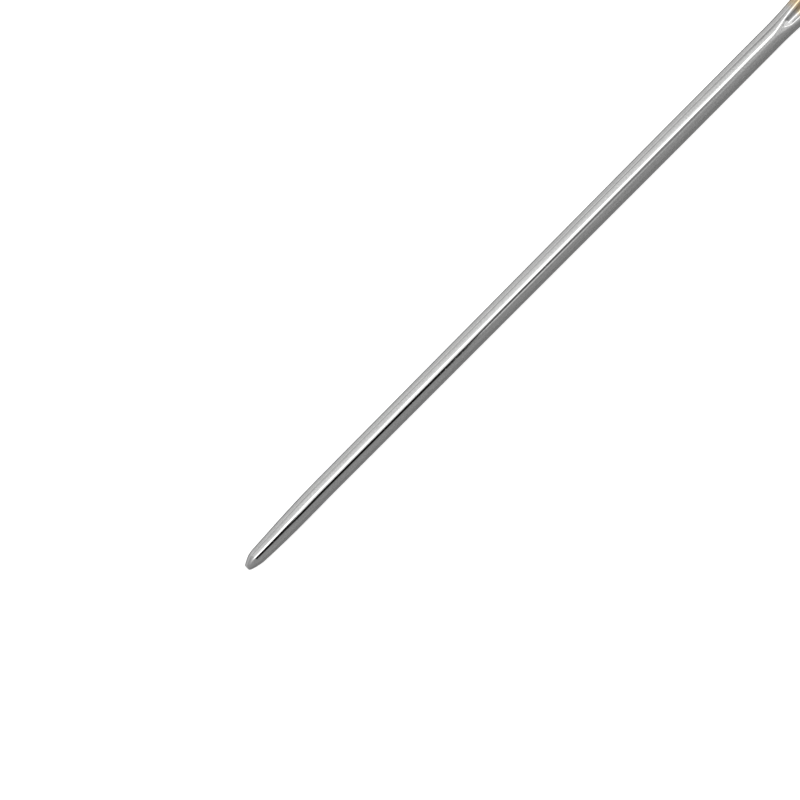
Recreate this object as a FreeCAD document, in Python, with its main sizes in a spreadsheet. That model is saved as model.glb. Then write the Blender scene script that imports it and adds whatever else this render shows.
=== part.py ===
import FreeCAD, Part
import os

import Sketcher

# A blunt hand sewing needle with a long eye, one piece of nickel-plated steel wire. It lies as
# it comes to rest: its length along X, the tip towards -X, and the eye's axis along Z. The
# origin is on the surface that it lies on, under the middle of its length. All sizes are in
# millimetres, and every station along the needle is counted from the tip.

SIZES = (
    ("needle_length", 44.0, "tip to the end of the head"),
    ("shank_diameter", 1.08, "round shank at its thickest, next to the head"),
    ("grip_length", 6.5, "parallel stretch of the shank next to the head"),
    ("neck_diameter", 0.96, "shank where the point begins"),
    ("point_length", 4.5, "tip to the start of the shank"),
    ("nose_length", 0.9, "rounded nose at the front of the point"),
    ("nose_diameter", 0.77, "point where the nose begins"),
    ("nose_radius", 1.9, "nose's arc, seen from the side"),
    ("tip_diameter", 0.28, "small flat at the very tip"),
    ("tip_offset", 0.045, "how far off the shank's axis the point was ground"),
    ("head_width", 1.56, "head at its widest"),
    ("head_height", 1.2, "head's oval section, before its two faces are pressed flat"),
    ("head_thickness", 0.9, "head between its two flat faces"),
    ("flare_length", 4.5, "end of the round shank to the full width of the head"),
    ("dome_length", 1.5, "rounded end of the head"),
    ("eye_length", 6.5, "eye, end to end"),
    ("eye_width", 0.8, "eye, side to side"),
    ("end_wall", 0.9, "eye to the end of the head"),
    ("root_margin", 0.5, "end of the round shank to the start of the gutters"),
    ("gutter_lead", 2.6, "start of the gutters to the eye"),
    ("gutter_tail", 0.5, "gutters' run-out before and beyond the far end of the eye"),
    ("gutter_width", 1.06, "round die of the gutters where the eye is"),
    ("gutter_entry_width", 0.22, "round die of the gutters at their very start"),
    ("gutter_entry_length", 0.25, "steep first stretch of the gutters"),
    ("gutter_nose_width", 0.32, "round die of the gutters after that stretch"),
    ("gutter_nose_depth", 0.13, "depth of the gutters after that stretch"),
    ("web_thickness", 0.2, "metal left between the two gutters where the eye starts"),
)

# Stations from the tip, as expressions on the sheet.
EYE_END = "(Sizes.needle_length - Sizes.end_wall)"
EYE_START = f"({EYE_END} - Sizes.eye_length)"
GUTTER_START = f"({EYE_START} - Sizes.gutter_lead)"
GUTTER_RISE = f"({EYE_END} - Sizes.gutter_tail)"
GUTTER_END = f"({EYE_END} + Sizes.gutter_tail)"
HEAD_ROOT = f"({GUTTER_START} - Sizes.root_margin)"
GRIP_START = f"({HEAD_ROOT} - Sizes.grip_length)"
DOME_START = "(Sizes.needle_length - Sizes.dome_length)"
PAST_END = "(Sizes.needle_length + Sizes.end_wall)"

# Sketch elements and the points on them, as the sketcher numbers them.
H_AXIS, ORIGIN = -1, (-1, 1)
START, END, CENTRE = 1, 2, 3

NORMAL = FreeCAD.Vector(0, 0, 1)
HALF_TURN = 3.141592653589793

doc = FreeCAD.newDocument("SewingNeedle")
sheet = doc.addObject("Spreadsheet::Sheet", "Sizes")
for row, (alias, value, meaning) in enumerate(SIZES, start=1):
    sheet.set(f"A{row}", alias)
    sheet.set(f"B{row}", str(value))
    sheet.set(f"C{row}", meaning)
    sheet.setAlias(f"B{row}", alias)

needle = doc.addObject("PartDesign::Body", "Needle")
needle.Label = "needle"
doc.recompute()


def origin_plane(role):
    """One of the body's own origin planes."""
    return next(plane for plane in needle.Origin.OriginFeatures if plane.Role == role)


def new_sketch(name, role, station=None):
    """An empty sketch on an origin plane, or that far out along the plane's normal."""
    sketch = needle.newObject("Sketcher::SketchObject", name)
    sketch.AttachmentSupport = [(origin_plane(role), "")]
    sketch.MapMode = "FlatFace"
    if station:
        sketch.setExpression("AttachmentOffset.Base.z", station)
    return sketch


def point(x, y):
    """A point of a sketch."""
    return FreeCAD.Vector(x, y, 0)


def fix(sketch, kind, *elements):
    """A geometric constraint."""
    sketch.addConstraint(Sketcher.Constraint(kind, *elements))


def drive(sketch, name, drawn, expression, kind, *elements):
    """A named dimension that follows the sheet. drawn is its value as first sketched."""
    sketch.addConstraint(Sketcher.Constraint(kind, *elements, drawn))
    sketch.renameConstraint(sketch.ConstraintCount - 1, name)
    sketch.setExpression(f"Constraints.{name}", expression)


def outline(sketch, corners):
    """Closed straight outline through the corners. Returns the index of each side."""
    sides = []
    for here, there in zip(corners, corners[1:] + corners[:1]):
        sides.append(sketch.addGeometry(Part.LineSegment(point(*here), point(*there)), False))
    for side, following in zip(sides, sides[1:] + sides[:1]):
        fix(sketch, "Coincident", side, END, following, START)
    return sides


def round_section(name, station, diameter, aside="0", height="0"):
    """A round cross-section, its centre that far aside towards -Y and above the axis."""
    sketch = new_sketch(name, "YZ_Plane", station)
    left, up, radius = 0.1, 0.1, 0.4
    circle = sketch.addGeometry(Part.Circle(point(-left, up), NORMAL, radius), False)
    drive(sketch, "aside", left, aside, "DistanceX", circle, CENTRE, *ORIGIN)
    drive(sketch, "height", up, height, "DistanceY", *ORIGIN, circle, CENTRE)
    drive(sketch, "diameter", 2 * radius, diameter, "Diameter", circle)
    return sketch


def oval_section(name, station, width, height):
    """An oval cross-section of the head."""
    sketch = new_sketch(name, "YZ_Plane", station)
    half_width, half_height = 0.7, 0.45
    oval = sketch.addGeometry(Part.Ellipse(point(0, 0), half_width, half_height), False)
    sketch.exposeInternalGeometry(oval)
    long_axis, short_axis = oval + 1, oval + 2
    fix(sketch, "Coincident", oval, CENTRE, *ORIGIN)
    fix(sketch, "Horizontal", long_axis)
    drive(sketch, "width", 2 * half_width, width, "Distance", long_axis, START, long_axis, END)
    drive(sketch, "height", 2 * half_height, height, "Distance", short_axis, START, short_axis, END)
    return sketch


def die_section(name, station, floor, width):
    """A cross-section of the gutter's round die, its lowest line at the floor's height."""
    return round_section(name, station, width, height=f"{floor} + {width} / 2")


def revolve(name, profile):
    """A full turn of a sketch about its own horizontal axis."""
    feature = needle.newObject("PartDesign::Revolution", name)
    feature.Profile = profile
    feature.ReferenceAxis = (profile, ["H_Axis"])
    feature.Angle = 360
    doc.recompute()
    return feature


def loft(kind, name, sections, ruled):
    """A PartDesign loft through sketches."""
    feature = needle.newObject(f"PartDesign::{kind}", name)
    feature.Profile = sections[0]
    feature.Sections = sections[1:]
    feature.Ruled = ruled
    doc.recompute()
    return feature


def between(low, high, share):
    """Expression for a size that share of the way from low to high."""
    return f"({low} + ({high} - {low}) * {share})"


def eased(share):
    """Share of a smooth rise that starts and ends level."""
    return share * share * (3 - 2 * share)


# The shank is drawn wire: a long slight taper, then the parallel grip next to the head.
profile = new_sketch("ShankProfile", "XZ_Plane")
start, middle, root, thin, thick = 4.5, 27.0, 33.5, 0.48, 0.54
front, taper, grip, back, axis = outline(
    profile, [(start, 0), (start, thin), (middle, thick), (root, thick), (root, 0)]
)
fix(profile, "Vertical", front)
fix(profile, "Horizontal", grip)
fix(profile, "Vertical", back)
fix(profile, "PointOnObject", front, START, H_AXIS)
fix(profile, "PointOnObject", back, END, H_AXIS)
drive(profile, "shank_start", start, "Sizes.point_length", "DistanceX", *ORIGIN, front, START)
drive(profile, "neck_radius", thin, "Sizes.neck_diameter / 2", "DistanceY", *ORIGIN, front, END)
drive(profile, "grip_start", middle, GRIP_START, "DistanceX", *ORIGIN, grip, START)
drive(profile, "grip_radius", thick, "Sizes.shank_diameter / 2", "DistanceY", *ORIGIN, grip, START)
drive(profile, "head_root", root, HEAD_ROOT, "DistanceX", *ORIGIN, back, END)
shank = revolve("Shank", profile)

# The point is ground a little off the axis: it narrows slowly, then the nose rounds over in one
# arc to a small flat.
point_sections = [round_section("PointRoot", "Sizes.point_length", "Sizes.neck_diameter")]
for index, share in enumerate((0.5, 1.0), start=1):
    point_sections.append(
        round_section(
            f"Point{index}",
            between("Sizes.point_length", "Sizes.nose_length", share),
            between("Sizes.neck_diameter", "Sizes.nose_diameter", share ** 2),
            f"Sizes.tip_offset * {eased(share)}",
        )
    )
blunt_point = loft("AdditiveLoft", "Point", point_sections, ruled=False)

nose_profile = new_sketch("NoseProfile", "XZ_Plane", "Sizes.tip_offset")
back, high, low, radius, bulge = 0.9, 0.385, 0.14, 1.9, 0.05
tip_flat, axis, back_face = (
    nose_profile.addGeometry(Part.LineSegment(point(*here), point(*there)), False)
    for here, there in (((0, low), (0, 0)), ((0, 0), (back, 0)), ((back, 0), (back, high)))
)
arc = nose_profile.addGeometry(
    Part.Arc(point(back, high), point(back / 2, (high + low) / 2 + bulge), point(0, low)), False
)
fix(nose_profile, "Coincident", tip_flat, END, axis, START)
fix(nose_profile, "Coincident", axis, END, back_face, START)
fix(nose_profile, "Coincident", back_face, END, arc, START)
fix(nose_profile, "Coincident", arc, END, tip_flat, START)
fix(nose_profile, "Coincident", axis, START, *ORIGIN)
fix(nose_profile, "Horizontal", axis)
fix(nose_profile, "Vertical", tip_flat)
fix(nose_profile, "Vertical", back_face)
drive(nose_profile, "length", back, "Sizes.nose_length", "DistanceX", *ORIGIN, axis, END)
drive(nose_profile, "back", high, "Sizes.nose_diameter / 2", "DistanceY", *ORIGIN, back_face, END)
drive(nose_profile, "flat", low, "Sizes.tip_diameter / 2", "DistanceY", *ORIGIN, tip_flat, START)
drive(nose_profile, "arc", radius, "Sizes.nose_radius", "Radius", arc)
nose = revolve("Nose", nose_profile)

# The head is swaged: the wire spreads sideways into an oval that ends in a dome.
DOME_FULLNESS = 0.98  # 1 would close the dome to a point, less leaves a small flat
head_sections = [round_section("HeadRoot", HEAD_ROOT, "Sizes.shank_diameter")]
for index, share in enumerate((0.2, 0.4, 0.6, 0.8, 1.0), start=1):
    head_sections.append(
        oval_section(
            f"Flare{index}",
            f"{HEAD_ROOT} + Sizes.flare_length * {share}",
            between("Sizes.shank_diameter", "Sizes.head_width", eased(share)),
            between("Sizes.shank_diameter", "Sizes.head_height", eased(share)),
        )
    )
head_sections.append(
    oval_section(
        "Belly",
        between(f"({HEAD_ROOT} + Sizes.flare_length)", DOME_START, 0.5),
        "Sizes.head_width",
        "Sizes.head_height",
    )
)
for index, share in enumerate((0.0, 0.4, 0.7, 0.9, 1.0), start=1):
    roundness = (1 - DOME_FULLNESS * share ** 2) ** 0.5
    head_sections.append(
        oval_section(
            f"Dome{index}",
            f"{DOME_START} + Sizes.dome_length * {share}",
            f"Sizes.head_width * {roundness}",
            f"Sizes.head_height * {roundness}",
        )
    )
head = loft("AdditiveLoft", "Head", head_sections, ruled=False)

# The dies press both faces of the head flat. Seen from the side, each slopes in from just above
# the shank and is level from the start of the eye on.
DIE_CLEARANCE = 0.01
ABOVE = f"(Sizes.shank_diameter / 2 + {DIE_CLEARANCE})"
face_outline = new_sketch("FaceOutline", "XZ_Plane")
root, level, end, above, face, clear = 33.5, 36.6, 44.5, 0.55, 0.45, 0.9
slope, flat, end_side, top_side, root_side = outline(
    face_outline, [(root, above), (level, face), (end, face), (end, clear), (root, clear)]
)
fix(face_outline, "Horizontal", flat)
fix(face_outline, "Vertical", end_side)
fix(face_outline, "Horizontal", top_side)
fix(face_outline, "Vertical", root_side)
drive(face_outline, "root", root, HEAD_ROOT, "DistanceX", *ORIGIN, slope, START)
drive(face_outline, "above", above, ABOVE, "DistanceY", *ORIGIN, slope, START)
drive(face_outline, "level", level, EYE_START, "DistanceX", *ORIGIN, flat, START)
drive(face_outline, "face", face, "Sizes.head_thickness / 2", "DistanceY", *ORIGIN, flat, START)
drive(face_outline, "end", end, PAST_END, "DistanceX", *ORIGIN, flat, END)
drive(face_outline, "clear", clear, "Sizes.head_height", "DistanceY", *ORIGIN, top_side, END)
upper_face = needle.newObject("PartDesign::Pocket", "UpperFace")
upper_face.Profile = face_outline
upper_face.Type = "ThroughAll"
upper_face.SideType = "Symmetric"
doc.recompute()

# A gutter leads the thread into the eye on each face. Its die is a round rod: it comes in
# steeply from above the surface, widens as it runs down to the thin web at the eye, and comes
# out again on the dome.
WEB = "(Sizes.web_thickness / 2)"
gutter_sections = [
    die_section("GutterIn", GUTTER_START, ABOVE, "Sizes.gutter_entry_width"),
    die_section(
        "GutterNose",
        f"{GUTTER_START} + Sizes.gutter_entry_length",
        "(Sizes.shank_diameter / 2 - Sizes.gutter_nose_depth)",
        "Sizes.gutter_nose_width",
    ),
    die_section("GutterFoot", EYE_START, WEB, "Sizes.gutter_width"),
    die_section("GutterRise", GUTTER_RISE, WEB, "Sizes.gutter_width"),
    die_section("GutterOut", GUTTER_END, ABOVE, "Sizes.gutter_width"),
]
upper_gutter = loft("SubtractiveLoft", "UpperGutter", gutter_sections, ruled=True)
both_faces = needle.newObject("PartDesign::Mirrored", "BothFaces")
both_faces.Originals = [upper_face, upper_gutter]
both_faces.MirrorPlane = (origin_plane("XY_Plane"), [""])
needle.Tip = both_faces
doc.recompute()

# The eye is punched through the web, straight-sided with round ends.
eye_outline = new_sketch("EyeOutline", "XY_Plane")
first, last, side = 36.6, 42.6, 0.4
near_end = eye_outline.addGeometry(
    Part.ArcOfCircle(Part.Circle(point(first, 0), NORMAL, side), HALF_TURN / 2, HALF_TURN * 1.5), False
)
far_end = eye_outline.addGeometry(
    Part.ArcOfCircle(Part.Circle(point(last, 0), NORMAL, side), -HALF_TURN / 2, HALF_TURN / 2), False
)
low_side = eye_outline.addGeometry(Part.LineSegment(point(first, -side), point(last, -side)), False)
high_side = eye_outline.addGeometry(Part.LineSegment(point(last, side), point(first, side)), False)
fix(eye_outline, "Tangent", near_end, END, low_side, START)
fix(eye_outline, "Tangent", low_side, END, far_end, START)
fix(eye_outline, "Tangent", far_end, END, high_side, START)
fix(eye_outline, "Tangent", high_side, END, near_end, START)
fix(eye_outline, "Equal", near_end, far_end)
fix(eye_outline, "PointOnObject", near_end, CENTRE, H_AXIS)
fix(eye_outline, "PointOnObject", far_end, CENTRE, H_AXIS)
drive(eye_outline, "half_width", side, "Sizes.eye_width / 2", "Radius", near_end)
drive(
    eye_outline, "first", first, f"{EYE_START} + Sizes.eye_width / 2", "DistanceX", *ORIGIN, near_end, CENTRE
)
drive(eye_outline, "last", last, f"{EYE_END} - Sizes.eye_width / 2", "DistanceX", *ORIGIN, far_end, CENTRE)
eye = needle.newObject("PartDesign::Pocket", "Eye")
eye.Profile = eye_outline
eye.Type = "ThroughAll"
eye.SideType = "Symmetric"
needle.setExpression("Placement.Base.x", "-Sizes.needle_length / 2")
needle.setExpression("Placement.Base.z", "Sizes.shank_diameter / 2")
doc.recompute()

for item in doc.Objects:
    if {"Invalid", "Error"} & set(item.State):
        raise RuntimeError(f"{item.Name} could not be built: {item.State}")
stages = [shank, blunt_point, nose, head, upper_face, upper_gutter, both_faces, eye]
for before, after in zip(stages, stages[1:]):
    grows = after in (blunt_point, nose, head)
    change = after.Shape.Volume - before.Shape.Volume
    if (change <= 0) if grows else (change >= 0):
        raise RuntimeError(f"{after.Name} changes nothing")
shape = needle.Shape
if shape.isNull() or not shape.isValid() or len(shape.Solids) != 1:
    raise RuntimeError("the needle is not one valid solid")

os.makedirs("parts", exist_ok=True)
shape.exportStep(f"parts/{needle.Label}.step")
print(f"needle: {shape.Volume:.2f} mm3, box {shape.BoundBox}")
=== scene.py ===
import functools
import math

import bpy
from mathutils import Matrix


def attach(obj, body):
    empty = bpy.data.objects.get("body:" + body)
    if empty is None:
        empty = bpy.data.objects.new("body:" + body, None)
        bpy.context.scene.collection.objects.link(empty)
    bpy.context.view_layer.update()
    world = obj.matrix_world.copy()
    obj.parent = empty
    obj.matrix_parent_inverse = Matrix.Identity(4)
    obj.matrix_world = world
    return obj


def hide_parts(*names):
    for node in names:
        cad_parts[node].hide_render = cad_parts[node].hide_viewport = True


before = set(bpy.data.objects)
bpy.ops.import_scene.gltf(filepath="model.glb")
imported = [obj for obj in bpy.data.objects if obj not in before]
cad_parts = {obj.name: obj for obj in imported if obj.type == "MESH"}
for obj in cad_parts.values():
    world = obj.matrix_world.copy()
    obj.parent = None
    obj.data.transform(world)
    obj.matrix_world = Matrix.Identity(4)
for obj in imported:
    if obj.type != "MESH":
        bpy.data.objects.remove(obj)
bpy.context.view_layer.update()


# The needle: one length of hard drawn carbon steel wire, ground to a blunt round point at one end.
# The other end is struck flat between dies, which also sink a gutter in each face, and the long eye
# is punched through the gutters. Tumbling in bundles rounds every rim. Sizes are in millimetres.
needle_sizes = {
    "Needle Length": 44.0,
    "Shank Diameter": 1.08,
    "Grip Length": 6.5,
    "Neck Diameter": 0.96,
    "Point Length": 4.5,
    "Nose Length": 0.9,
    "Nose Diameter": 0.77,
    "Nose Bulge": 0.0597,
    "Tip Diameter": 0.3,
    "Point Offset": 0.056,
    "Tip Offset": 0.092,
    "Head Width": 1.56,
    "Head Height": 1.2,
    "Head Thickness": 0.9,
    "Face Depth": 0.01,
    "Flare Length": 4.5,
    "Face Run-in": 3.1,
    "Face Lead": 0.6,
    "Face Settling": 1.6,
    "Dome Length": 1.5,
    "Dome Fullness": 0.98,
    "End Wall": 0.9,
    "Eye Length": 6.5,
    "Eye Width": 0.8,
    "Gutter Lead": 2.6,
    "Gutter Tail": 0.5,
    "Gutter Width": 1.06,
    "Gutter Nose Length": 0.2,
    "Gutter Nose Width": 0.4,
    "Gutter Nose Depth": 0.09,
    "Gutter Entry Width": 0.32,
    "Web Thickness": 0.2,
}
# The needle is laid out as rows of points from the tip to the head, one quarter of its girth wide.
# Each stretch has its number of rows, and each part of the quarter its number of points.
end_rows, nose_rows, point_rows, cone_rows, grip_rows, lead_rows = 5, 14, 26, 60, 14, 20
flare_rows, eye_end_rows, eye_rows, crown_rows = 84, 12, 56, 26
flank_points, land_points, gutter_points, wall_points = 24, 5, 12, 7
row_total = (
    2 * end_rows + nose_rows + point_rows + cone_rows + grip_rows + lead_rows
    + flare_rows + 2 * eye_end_rows + eye_rows + crown_rows
)
point_total = flank_points + land_points + gutter_points + wall_points

needle_tree = bpy.data.node_groups.new("needle_form", "GeometryNodeTree")
needle_tree.interface.new_socket("Geometry", in_out="INPUT", socket_type="NodeSocketGeometry")
needle_tree.interface.new_socket("Geometry", in_out="OUTPUT", socket_type="NodeSocketGeometry")
size_socket = {
    name: needle_tree.interface.new_socket(name, in_out="INPUT", socket_type="NodeSocketFloat")
    for name in needle_sizes
}
metal_socket = needle_tree.interface.new_socket(
    "Metal", in_out="INPUT", socket_type="NodeSocketMaterial"
)
tree_in = needle_tree.nodes.new("NodeGroupInput")
tree_out = needle_tree.nodes.new("NodeGroupOutput")


def new_node(tree, kind, fed=(), **settings):
    """A new node of a tree, with its settings, its inlets fed from outlets or plain values."""
    node = tree.nodes.new(kind)
    for setting, value in settings.items():
        setattr(node, setting, value)
    for inlet, value in fed:
        if isinstance(value, bpy.types.NodeSocket):
            tree.links.new(value, node.inputs[inlet])
        else:
            node.inputs[inlet].default_value = value
    return node


place = functools.partial(new_node, needle_tree)


def feed(socket, value):
    """Gives a socket a size, a plain number or the outlet of another node."""
    if isinstance(value, Size):
        value = value.outlet
    if isinstance(value, bpy.types.NodeSocket):
        needle_tree.links.new(value, socket)
    else:
        socket.default_value = value


class Size:
    """A size that the tree works out at each point of the needle. Sums become Math nodes."""

    def __init__(self, outlet):
        self.outlet = outlet

    def __add__(self, other):
        return worked("ADD", self, other)

    def __radd__(self, other):
        return worked("ADD", other, self)

    def __sub__(self, other):
        return worked("SUBTRACT", self, other)

    def __rsub__(self, other):
        return worked("SUBTRACT", other, self)

    def __mul__(self, other):
        return worked("MULTIPLY", self, other)

    def __rmul__(self, other):
        return worked("MULTIPLY", other, self)

    def __truediv__(self, other):
        return worked("DIVIDE", self, other)

    def __rtruediv__(self, other):
        return worked("DIVIDE", other, self)


def worked(operation, *terms):
    """The size that a Math node works out of its terms."""
    node = place("ShaderNodeMath", operation=operation)
    for inlet, term in zip(node.inputs, terms):
        feed(inlet, term)
    return Size(node.outputs[0])


def larger(first, second):
    return worked("MAXIMUM", first, second)


def smaller(first, second):
    return worked("MINIMUM", first, second)


def root(number):
    """The square root, or nought where there is none."""
    return worked("SQRT", larger(number, 0.0))


def share(value, start, end, eased=False):
    """How far a value has gone from start to end, from 0 to 1, evenly or eased at both ends."""
    node = place("ShaderNodeMapRange", interpolation_type="SMOOTHSTEP" if eased else "LINEAR")
    feed(node.inputs["Value"], value)
    feed(node.inputs["From Min"], start)
    feed(node.inputs["From Max"], end)
    return Size(node.outputs["Result"])


def given(name):
    """One of the needle's sizes, as the tree is given it."""
    return Size(tree_in.outputs[name])


def position():
    """Where each point is at this stage, as x, y and z."""
    parts = place("ShaderNodeSeparateXYZ")
    needle_tree.links.new(place("GeometryNodeInputPosition").outputs[0], parts.inputs[0])
    return [Size(outlet) for outlet in parts.outputs]


def moved(geometry, x, y, z):
    """The geometry with its points moved to x, y and z."""
    target = place("ShaderNodeCombineXYZ")
    for inlet, value in zip(target.inputs, (x, y, z)):
        feed(inlet, value)
    setter = place("GeometryNodeSetPosition")
    feed(setter.inputs["Geometry"], geometry)
    feed(setter.inputs["Position"], target.outputs[0])
    return setter.outputs[0]


blank = place("GeometryNodeMeshGrid")
blank.inputs["Size X"].default_value = row_total
blank.inputs["Size Y"].default_value = point_total
blank.inputs["Vertices X"].default_value = row_total + 1
blank.inputs["Vertices Y"].default_value = point_total + 1
blank_x, blank_y, _ = position()
row = blank_x + row_total / 2
column = blank_y + point_total / 2

# Stations along the needle, from the tip.
needle_end = given("Needle Length")
eye_radius = given("Eye Width") / 2
eye_end = needle_end - given("End Wall")
eye_start = eye_end - given("Eye Length")
head_root = eye_start - given("Face Run-in")
face_start = head_root - given("Face Lead")
gutter_start = eye_start - given("Gutter Lead")
gutter_foot = gutter_start + given("Gutter Nose Length")
gutter_rise = eye_end - given("Gutter Tail")
run_out_length = 1.0
gutter_end = gutter_rise + run_out_length
dome_start = needle_end - given("Dome Length")
grip_start = head_root - given("Grip Length")

# Rows lie closer where the form bends more: at the gutters and round the two ends of the eye, where
# they follow a quarter of a circle.
station = 0.0
reached = end_rows
for rows, length in (
    (nose_rows, given("Nose Length")),
    (point_rows, given("Point Length") - given("Nose Length")),
    (cone_rows, grip_start - given("Point Length")),
    (grip_rows, given("Grip Length") - given("Face Lead")),
    (lead_rows, given("Face Lead")),
    (flare_rows, given("Face Run-in")),
):
    station = station + share(row, reached, reached + rows) * length
    reached += rows
quarter_turn = share(row, reached, reached + eye_end_rows) * (math.pi / 2)
station = station + (1.0 - worked("COSINE", quarter_turn)) * eye_radius
reached += eye_end_rows
straight_side = given("Eye Length") - given("Eye Width")
station = station + share(row, reached, reached + eye_rows) * straight_side
reached += eye_rows
quarter_turn = share(row, reached, reached + eye_end_rows) * (math.pi / 2)
station = station + worked("SINE", quarter_turn) * eye_radius
reached += eye_end_rows
quarter_turn = share(row, reached, reached + crown_rows) * (math.pi / 2)
station = station + worked("SINE", quarter_turn) * given("End Wall")
reached += crown_rows
end_share = share(row, 0.0, end_rows) * (1.0 - share(row, reached, reached + end_rows))

# The round wire: a blunt nose, a long slow point, and a shank that thickens up to the grip.
nose_share = share(station, 0.0, given("Nose Length"))
point_share = 1.0 - share(station, given("Nose Length"), given("Point Length"))
shank_share = share(station, given("Point Length"), grip_start)
radius = (
    given("Tip Diameter") / 2
    + (given("Nose Diameter") - given("Tip Diameter")) / 2 * nose_share
    + 4.0 * given("Nose Bulge") * nose_share * (1.0 - nose_share)
    + (given("Neck Diameter") - given("Nose Diameter")) / 2 * (1.0 - point_share * point_share)
    + (given("Shank Diameter") - given("Neck Diameter")) / 2 * shank_share
)

# The struck head: an oval that widens from the shank, domed at its end, with its two faces flat.
flare = share(station, head_root, head_root + given("Flare Length"), eased=True)
dome_share = share(station, dome_start, needle_end)
dome = root(1.0 - given("Dome Fullness") * dome_share * dome_share)
half_width = (radius + (given("Head Width") - given("Shank Diameter")) / 2 * flare) * dome
half_height = (radius + (given("Head Height") - given("Shank Diameter")) / 2 * flare) * dome
face_root = given("Shank Diameter") / 2 + given("Face Depth")
face_drop = share(station, face_start, eye_start - given("Face Settling"), eased=True)
face = face_root - (face_root - given("Head Thickness") / 2) * face_drop

# The gutter: a round-nosed trough that sinks and widens to the eye, and runs out behind it.
entry = share(station, gutter_start, gutter_foot)
widening = share(station, gutter_foot, eye_start)
widening = widening * widening
run_out = share(station, gutter_rise, gutter_end)
web = given("Web Thickness") / 2
full_depth = given("Head Thickness") / 2 - web
gutter_radius = (
    given("Gutter Entry Width") / 2
    + (given("Gutter Nose Width") - given("Gutter Entry Width")) / 2 * entry
    + (given("Gutter Width") - given("Gutter Nose Width")) / 2 * widening
)
gutter_floor = (
    face
    - given("Gutter Nose Depth") * entry
    - (full_depth - given("Gutter Nose Depth")) * widening
    + (face_root - web) * run_out
)
gutter_axis = gutter_floor + gutter_radius


def oval_height(across):
    """The height of the head's oval at a distance from its middle line."""
    return half_height * root(1.0 - (across / half_width) * (across / half_width))


def gutter_reach(height):
    """Half the gutter's width where its walls meet a surface of that height."""
    drop = gutter_axis - height
    return root(gutter_radius * gutter_radius - drop * drop)


rim = gutter_reach(smaller(face, half_height))
for _ in range(3):
    rim = gutter_reach(smaller(face, oval_height(rim)))

# The eye: a long slot with round ends, punched through the web between the two gutters.
a_hair = 0.0001
half_eye = given("Eye Length") / 2
from_middle = worked("ABSOLUTE", station - (eye_start + eye_end) / 2)
past_round = larger(from_middle - half_eye + eye_radius, 0.0)
eye_side = root(eye_radius * eye_radius - past_round * past_round)
in_eye = worked("LESS_THAN", from_middle, half_eye + a_hair)

# One quarter of the girth: the flank, the land beside the gutter, the gutter, and the eye's wall.
# Where there is no gutter, the land starts at a plain share of the width.
least_land = 0.07
far_above = 10.0
settling_length = 1.5
settling = share(station, head_root - settling_length, head_root)
plain_land = half_width * (0.5 - 0.3 * settling)
face_edge = half_width * root(1.0 - (face / half_height) * (face / half_height))
land_edge = larger(larger(face_edge, rim + least_land), plain_land)
gutter_edge = larger(rim, plain_land / 2)
flank_turn = worked("ARCCOSINE", land_edge / half_width) * share(column, 0.0, flank_points)
reached = flank_points
land_share = share(column, reached, reached + land_points)
reached += land_points
gutter_turn = share(column, reached, reached + gutter_points) * (math.pi / 2)
reached += gutter_points
wall_share = share(column, reached, reached + wall_points)
across = (
    half_width * worked("COSINE", flank_turn)
    - (land_edge - gutter_edge) * land_share
    - (gutter_edge - eye_side) * (1.0 - worked("COSINE", gutter_turn))
)
trough = gutter_axis - root(gutter_radius * gutter_radius - across * across)
in_gutter = worked("LESS_THAN", across, gutter_radius)
trough = trough * in_gutter + (1.0 - in_gutter) * far_above
on_top = worked("GREATER_THAN", column, flank_points + 0.5)
top_height = smaller(smaller(oval_height(across), face), trough)
flank_height = half_height * worked("SINE", flank_turn)
height = (top_height * on_top + flank_height * (1.0 - on_top)) * (1.0 - wall_share * in_eye)
quarter = moved(blank.outputs["Mesh"], station, across * end_share, height * end_share)

# Outside the eye, the points of the eye's wall lie folded on the middle line, and are cut away. The
# faces that stay are turned to look outward.
on_middle_line = 1e-6
_, cut_across, _ = position()
folded = place("GeometryNodeDeleteGeometry", domain="FACE")
feed(folded.inputs["Geometry"], quarter)
from_middle_line = worked("ABSOLUTE", cut_across)
feed(folded.inputs["Selection"], worked("LESS_THAN", from_middle_line, on_middle_line))
outward = place("GeometryNodeFlipFaces")
feed(outward.inputs["Mesh"], folded.outputs[0])
needle_shell = outward.outputs[0]

# The quarter is turned over to the other side and the other face, and the seams are closed.
for mirrored in ((1, -1, 1), (1, 1, -1)):
    turned = place("GeometryNodeTransform")
    feed(turned.inputs["Geometry"], needle_shell)
    turned.inputs["Scale"].default_value = mirrored
    flipped = place("GeometryNodeFlipFaces")
    feed(flipped.inputs["Mesh"], turned.outputs[0])
    both = place("GeometryNodeJoinGeometry")
    needle_tree.links.new(needle_shell, both.inputs[0])
    needle_tree.links.new(flipped.outputs[0], both.inputs[0])
    needle_shell = both.outputs[0]
seams = place("GeometryNodeMergeByDistance")
feed(seams.inputs["Geometry"], needle_shell)
seam_gap = 0.0002
seams.inputs["Distance"].default_value = seam_gap

# Tumbling: every rim of the head wears round, and the edge of the tip a little.
wear_rounds = 12
head_wear_lead = 0.5
tip_wear, tip_wear_start, tip_wear_end = 0.05, 0.1, 0.3
station_x, _, _ = position()
head_share = share(station_x, face_start, face_start + head_wear_lead)
tip_share = 1.0 - share(station_x, tip_wear_start, tip_wear_end)
worn = place("GeometryNodeBlurAttribute", data_type="FLOAT_VECTOR")
needle_tree.links.new(place("GeometryNodeInputPosition").outputs[0], worn.inputs["Value"])
worn.inputs["Iterations"].default_value = wear_rounds
feed(worn.inputs["Weight"], larger(head_share, tip_wear * tip_share))
tumbled = place("GeometryNodeSetPosition")
feed(tumbled.inputs["Geometry"], seams.outputs[0])
feed(tumbled.inputs["Position"], worn.outputs["Value"])

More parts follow.
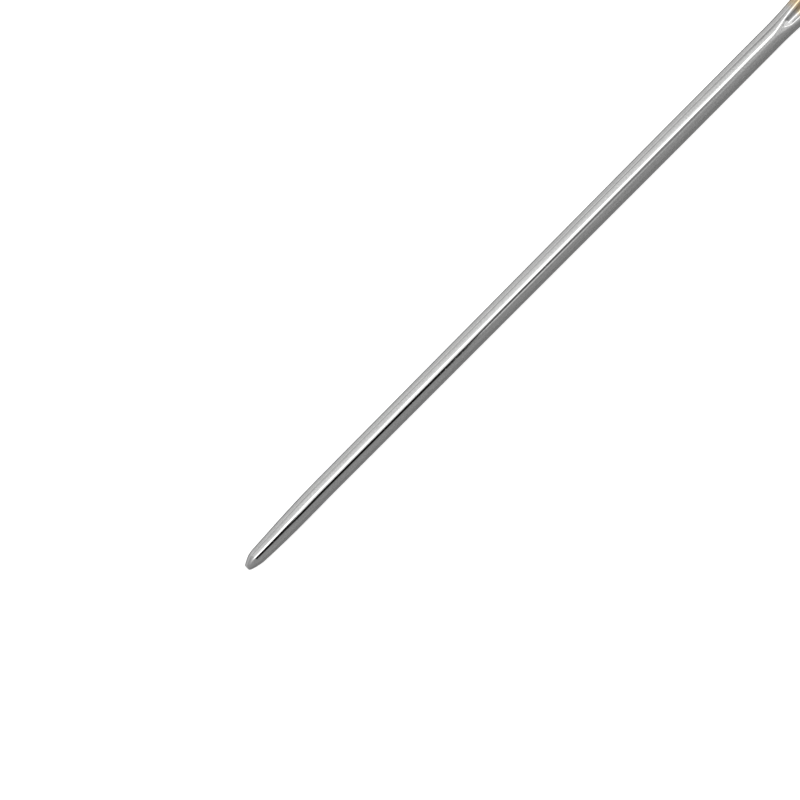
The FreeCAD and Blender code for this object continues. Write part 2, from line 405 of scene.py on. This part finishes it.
# The point is ground a little off the axis, and its end more so. Then the needle is laid down, and
# turned from millimetres to metres.
millimetre = 0.001
along_x, across_y, above_z = position()
ground_end = given("Point Length") * 1.15
on_point = 1.0 - share(along_x, given("Nose Length"), ground_end, eased=True)
on_tip = 1.0 - share(along_x, given("Tip Diameter") / 4, given("Nose Length") / 2)
off_axis = given("Point Offset") * on_point + (given("Tip Offset") - given("Point Offset")) * on_tip
laid = moved(
    tumbled.outputs[0],
    (along_x - needle_end / 2) * millimetre,
    (across_y - off_axis) * millimetre,
    (above_z + given("Shank Diameter") / 2) * millimetre,
)
smooth = place("GeometryNodeSetShadeSmooth")
feed(smooth.inputs["Geometry"], laid)
whole = place("GeometryNodeRealizeInstances")
feed(whole.inputs["Geometry"], smooth.outputs[0])
plated = place("GeometryNodeSetMaterial")
feed(plated.inputs["Geometry"], whole.outputs[0])
feed(plated.inputs["Material"], tree_in.outputs["Metal"])
feed(tree_out.inputs["Geometry"], plated.outputs[0])

# The finish: bright nickel over polished steel, with gold over it on the head. The wire keeps faint
# lengthwise lines from drawing and polishing, the ground nose is duller, and the gold starts in a
# slightly uneven line, as far up as the head was dipped.
metal = bpy.data.materials.new("nickel_and_gold_plate")
metal.use_nodes = True
paint = metal.node_tree
shader = paint.nodes["Principled BSDF"]
shader.inputs["Metallic"].default_value = 1.0


def math_node(tree, operation, *terms):
    """The outlet of a Math node with these terms."""
    return new_node(tree, "ShaderNodeMath", enumerate(terms), operation=operation).outputs[0]


def soft_step(tree, value, start, end):
    """How far a value has gone from start to end, from 0 to 1, eased at both ends."""
    fed = [("Value", value), ("From Min", start), ("From Max", end)]
    step = new_node(tree, "ShaderNodeMapRange", fed, interpolation_type="SMOOTHSTEP")
    return step.outputs["Result"]


def mixed(tree, amount, first, second):
    """Two colours mixed by an amount. Either is the outlet of a node or a plain colour."""
    mix = new_node(tree, "ShaderNodeMix", [("Factor", amount)], data_type="RGBA")
    inlets = [inlet for inlet in mix.inputs if inlet.type == "RGBA"]
    for inlet, colour in zip(inlets, (first, second)):
        if isinstance(colour, bpy.types.NodeSocket):
            tree.links.new(colour, inlet)
        else:
            inlet.default_value = colour
    return next(outlet for outlet in mix.outputs if outlet.type == "RGBA")


def noise(vector, scale, detail, roughness=0.5):
    """An uneven pattern in the plate, from 0 to 1."""
    fed = [("Vector", vector), ("Scale", scale), ("Detail", detail), ("Roughness", roughness)]
    return new_node(paint, "ShaderNodeTexNoise", fed).outputs["Fac"]


def ranged(value, low, high, result_low=0.0, result_high=1.0):
    """A value of the plate between low and high, as a number between two results."""
    fed = [("Value", value), ("From Min", low), ("From Max", high)]
    fed += [("To Min", result_low), ("To Max", result_high)]
    return new_node(paint, "ShaderNodeMapRange", fed).outputs["Result"]


def plate_colour(dull, bright):
    """The colour of a plate, between its dull and its bright marks."""
    ramp = new_node(paint, "ShaderNodeValToRGB", [("Fac", marks)])
    for stop, where, colour in zip(ramp.color_ramp.elements, (0.36, 0.64), (dull, bright)):
        stop.position = where
        stop.color = colour
    return ramp.outputs[0]


def bump(height, strength, under=None):
    """Marks of a few thousandths of a millimetre, on the plain plate or over other marks."""
    fed = [("Height", height), ("Strength", strength), ("Distance", 0.000004)]
    if under is not None:
        fed.append(("Normal", under))
    return new_node(paint, "ShaderNodeBump", fed).outputs[0]


on_needle = new_node(paint, "ShaderNodeTexCoord").outputs["Object"]
along = new_node(paint, "ShaderNodeSeparateXYZ", [(0, on_needle)]).outputs["X"]

# Drawing lines about 0.04 mm wide and a few millimetres long, fine grain, and small specks.
line_scale = (350.0, 24000.0, 24000.0)
drawn = new_node(paint, "ShaderNodeMapping", [("Vector", on_needle), ("Scale", line_scale)])
drawn_lines = noise(drawn.outputs[0], 1.0, 3.0, 0.6)
cloud = noise(on_needle, 900.0, 2.0)
grain = noise(on_needle, 15000.0, 2.0, 0.7)
specks = ranged(noise(on_needle, 14000.0, 1.0), 0.62, 0.74)
line_part = math_node(paint, "MULTIPLY", drawn_lines, 0.4)
marks = math_node(paint, "MULTIPLY_ADD", grain, 0.6, line_part)

# Where the gold starts, and where the ground nose ends.
gold_line = math_node(paint, "ADD", along, math_node(paint, "MULTIPLY", cloud, 0.0006))
gold_share = soft_step(paint, gold_line, 0.01297, 0.01339)
ground_nose = math_node(paint, "SUBTRACT", 1.0, soft_step(paint, along, -0.02149, -0.02142))

nickel = plate_colour((0.52, 0.52, 0.517, 1), (0.70, 0.70, 0.695, 1))
gold = plate_colour((0.57, 0.43, 0.27, 1), (0.73, 0.60, 0.41, 1))
ground_steel = (0.56, 0.56, 0.56, 1)
plate = mixed(paint, ground_nose, mixed(paint, gold_share, nickel, gold), ground_steel)
paint.links.new(plate, shader.inputs["Base Color"])

line_gloss = ranged(drawn_lines, 0.25, 0.75, 0.035, 0.07)
speck_gloss = math_node(paint, "MULTIPLY_ADD", specks, 0.08, line_gloss)
gloss = math_node(paint, "MULTIPLY_ADD", ground_nose, 0.25, speck_gloss)
paint.links.new(gloss, shader.inputs["Roughness"])
paint.links.new(bump(specks, 0.08, under=bump(drawn_lines, 0.06)), shader.inputs["Normal"])

needle = bpy.data.objects.new("needle_polished", bpy.data.meshes.new("needle_blank"))
bpy.context.scene.collection.objects.link(needle)
forming = needle.modifiers.new("forming", "NODES")
forming.node_group = needle_tree
for name, socket in size_socket.items():
    forming[socket.identifier] = needle_sizes[name]
forming[metal_socket.identifier] = metal
formed = needle.evaluated_get(bpy.context.evaluated_depsgraph_get())
finished = bpy.data.meshes.new_from_object(formed)
needle.modifiers.clear()
needle.data = finished
needle.data.name = "needle_polished"
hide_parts("needle")
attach(needle, "root")


# The table: a wide sheet of white matt paper that the needle lies on. It keeps the needle's shadow.
def matt(name, grey):
    """A matt material of one grey, and its shader."""
    material = bpy.data.materials.new(name)
    material.use_nodes = True
    face = material.node_tree.nodes["Principled BSDF"]
    face.inputs["Base Color"].default_value = (grey, grey, grey, 1)
    face.inputs["Roughness"].default_value = 0.9
    face.inputs["Specular IOR Level"].default_value = 0.0
    return material, face


def cut_sheet(name, corners, sheets, material):
    """Flat sheets of one material, as one object of the studio."""
    mesh = bpy.data.meshes.new(name)
    mesh.from_pydata(corners, [], sheets)
    mesh.materials.append(material)
    sheet = bpy.data.objects.new(name, mesh)
    bpy.context.scene.collection.objects.link(sheet)
    return sheet


paper, paper_face = matt("white_matt_paper", 0.8)
paper_face.inputs["Emission Color"].default_value = (1, 1, 1, 1)
ray = new_node(paper.node_tree, "ShaderNodeLightPath")
glow = 0.0
for kind, level in (("Is Camera Ray", 0.7), ("Is Glossy Ray", 0.06), ("Is Transmission Ray", 0.7)):
    glow = math_node(paper.node_tree, "MULTIPLY_ADD", ray.outputs[kind], level, glow)
paper.node_tree.links.new(glow, paper_face.inputs["Emission Strength"])
paper_corners = [(-1, -1, 0), (1, -1, 0), (1, 1, 0), (-1, 1, 0)]
floor = cut_sheet("paper_sheet", paper_corners, [(0, 1, 2, 3)], paper)


# The studio: pale walls all round at the level of the table, a long soft box overhead on the left
# of the needle, a narrow black flag beside the lens, and a plain grey wall on the right.
world = bpy.data.worlds.new("studio")
bpy.context.scene.world = world
world.use_nodes = True
air = world.node_tree
backdrop = air.nodes["Background"]
air_node = functools.partial(new_node, air)
mirrored_way = air_node("ShaderNodeTexCoord").outputs["Generated"]
facing = air_node("ShaderNodeSeparateXYZ", [(0, mirrored_way)])
rightward = math_node(air, "MULTIPLY", facing.outputs["Y"], -1.0)
lean = math_node(air, "ARCTAN2", rightward, facing.outputs["Z"])
lean_share = air_node(
    "ShaderNodeMapRange", [("Value", lean), ("From Min", -math.pi / 2), ("From Max", math.pi / 2)]
).outputs["Result"]


def walls(levels):
    """The studio's light by the angle from straight up, in degrees, below nought on the left."""
    ramp = air_node("ShaderNodeValToRGB", [("Fac", lean_share)])
    stops = ramp.color_ramp.elements
    for number, (angle, level) in enumerate(levels):
        where = (angle + 90) / 180
        stop = stops[number] if number < 2 else stops.new(where)
        stop.position = where
        stop.color = (level, level, level, 1)
    return ramp.outputs[0]


beyond_tip = walls([(-90, 0.42), (90, 0.42)])
near_point = walls([
    (-90, 0.80), (-82, 0.55), (-76, 0.58), (-70, 0.74), (-62, 0.80), (-50, 0.90), (-38, 0.95),
    (-30, 1.08), (-11, 1.1), (-8.5, 0.95), (-6, 0.45), (-4, 0.04), (-2, 0.0), (15, 0.0),
    (17.5, 0.02), (20.5, 0.13), (24, 0.29), (30, 0.36), (62, 0.37), (90, 0.35),
])
near_tip = walls([
    (-90, 0.80), (-82, 0.55), (-76, 0.58), (-70, 0.76), (-62, 0.82), (-50, 0.93), (-38, 0.98),
    (-31, 1.1), (0, 1.08), (2.7, 0.95), (4.7, 0.45), (6.2, 0.03), (7.5, 0.0), (22, 0.0),
    (24.5, 0.02), (27, 0.14), (31, 0.30), (36, 0.36), (62, 0.37), (90, 0.35),
])
past_flag = walls([
    (-90, 0.80), (-82, 0.48), (-76, 0.52), (-70, 0.78), (-62, 0.84), (-50, 0.94), (-38, 0.99),
    (-31, 1.12), (-6, 1.1), (-2.5, 0.90), (1, 0.35), (4.5, 0.05), (10.5, 0.05), (15.5, 0.30),
    (21, 0.90), (26.5, 0.76), (32.5, 0.40), (39, 0.36), (62, 0.37), (90, 0.34),
])
near_middle = walls([
    (-90, 0.80), (-82, 0.45), (-76, 0.50), (-70, 0.80), (-62, 0.86), (-50, 0.95), (-38, 0.99),
    (-31, 1.12), (-11, 1.1), (-6, 0.85), (-2, 0.50), (2, 0.28), (7, 0.24), (12, 0.33),
    (18, 0.54), (24, 0.58), (29.5, 0.47), (38, 0.38), (62, 0.37), (90, 0.34),
])
near_head = walls([
    (-90, 0.90), (-80, 0.52), (-72, 0.40), (-66, 0.50), (-58, 0.76), (-48, 0.88), (-40, 0.93),
    (-31, 1.1), (-12, 1.3), (-8, 1.15), (-4, 0.90), (3, 0.70), (13, 0.77), (22, 0.62),
    (32, 0.48), (43, 0.42), (58, 0.40), (71, 0.35), (80, 0.30), (90, 0.28),
])
beyond_head = walls([
    (-90, 1.2), (-60, 1.25), (-5, 1.1), (8, 0.85), (25, 0.45), (45, 0.32), (90, 0.28),
])
far_end = walls([(-90, 1.15), (90, 1.05)])

# One set of walls gives way to the next as the mirrored direction turns towards the head.
studio_walls = beyond_tip
for turn_start, turn_end, next_walls in (
    (-0.47, -0.39, near_point),
    (-0.13, -0.095, near_tip),
    (0.036, 0.044, past_flag),
    (0.08, 0.13, near_middle),
    (0.17, 0.24, near_head),
    (0.32, 0.42, beyond_head),
    (0.52, 0.64, far_end),
):
    turned_headward = soft_step(air, facing.outputs["X"], turn_start, turn_end)
    studio_walls = mixed(air, turned_headward, studio_walls, next_walls)

# Near the level of the table all is white. The metal mirrors these walls, and in their place the
# camera sees plain white.
white = (1, 1, 1, 1)
above_horizon = soft_step(air, facing.outputs["Z"], 0.10, 0.16)
studio_air = mixed(air, above_horizon, white, studio_walls)
sight = air_node("ShaderNodeLightPath")
seen_plain = math_node(
    air, "MAXIMUM", sight.outputs["Is Camera Ray"], sight.outputs["Is Transmission Ray"]
)
air.links.new(mixed(air, seen_plain, studio_air, white), backdrop.inputs["Color"])

# A dark grey sheet stands for the needle's shadow on the paper. It is painted shadow that only the
# metal's reflections see. It lies along the right of the needle and turns up at its far edge, and a
# narrow strip of it lies close along the left. In the metal, this painted reflection of shade
# darkens that flank and draws the left outline. The camera leaves the sheet out, and it neither
# lights nor shades anything.
card_bends = (
    (-0.0008, 0.00002), (-0.06, 0.00002), (-0.062, 0.013), (0.0005, 0.00002), (0.00115, 0.00002)
)
card_corners = [(x, y, z) for y, z in card_bends for x in (-0.3, 0.3)]
card_sheets = [(0, 1, 3, 2), (2, 3, 5, 4), (6, 7, 9, 8)]
painted_shadow_card, _ = matt("painted_shadow_card", 0.36)
card = cut_sheet("painted_shadow_cards", card_corners, card_sheets, painted_shadow_card)
card.visible_camera = card.visible_diffuse = card.visible_shadow = card.visible_transmission = False

soft_box = bpy.data.lights.new("soft_box", "AREA")
soft_box.shape = "RECTANGLE"
soft_box.size = 0.9
soft_box.size_y = 0.17
soft_box.energy = 0.6
soft_box_stand = bpy.data.objects.new("soft_box", soft_box)
bpy.context.scene.collection.objects.link(soft_box_stand)
soft_box_stand.matrix_world = (
    Matrix.Rotation(math.radians(-17), 4, "X") @ Matrix.Translation((-0.01, 0, 0.5))
)


# The camera looks down on the needle, a little from its left.
camera_data = bpy.data.cameras.new("camera")
camera_data.lens = 100
camera_data.sensor_width = 36
camera_data.clip_start = 0.005
camera_data.clip_end = 20
camera = bpy.data.objects.new("camera", camera_data)
bpy.context.scene.collection.objects.link(camera)
camera.matrix_world = (
    Matrix.Translation((-0.011865, 0.000352, 0.00054))
    @ Matrix.Rotation(math.radians(-4), 4, "X")
    @ Matrix.Rotation(math.radians(-45.15), 4, "Z")
    @ Matrix.Translation((0, 0, 0.0992))
)
bpy.context.scene.camera = camera
bpy.context.scene.view_settings.view_transform = "Standard"
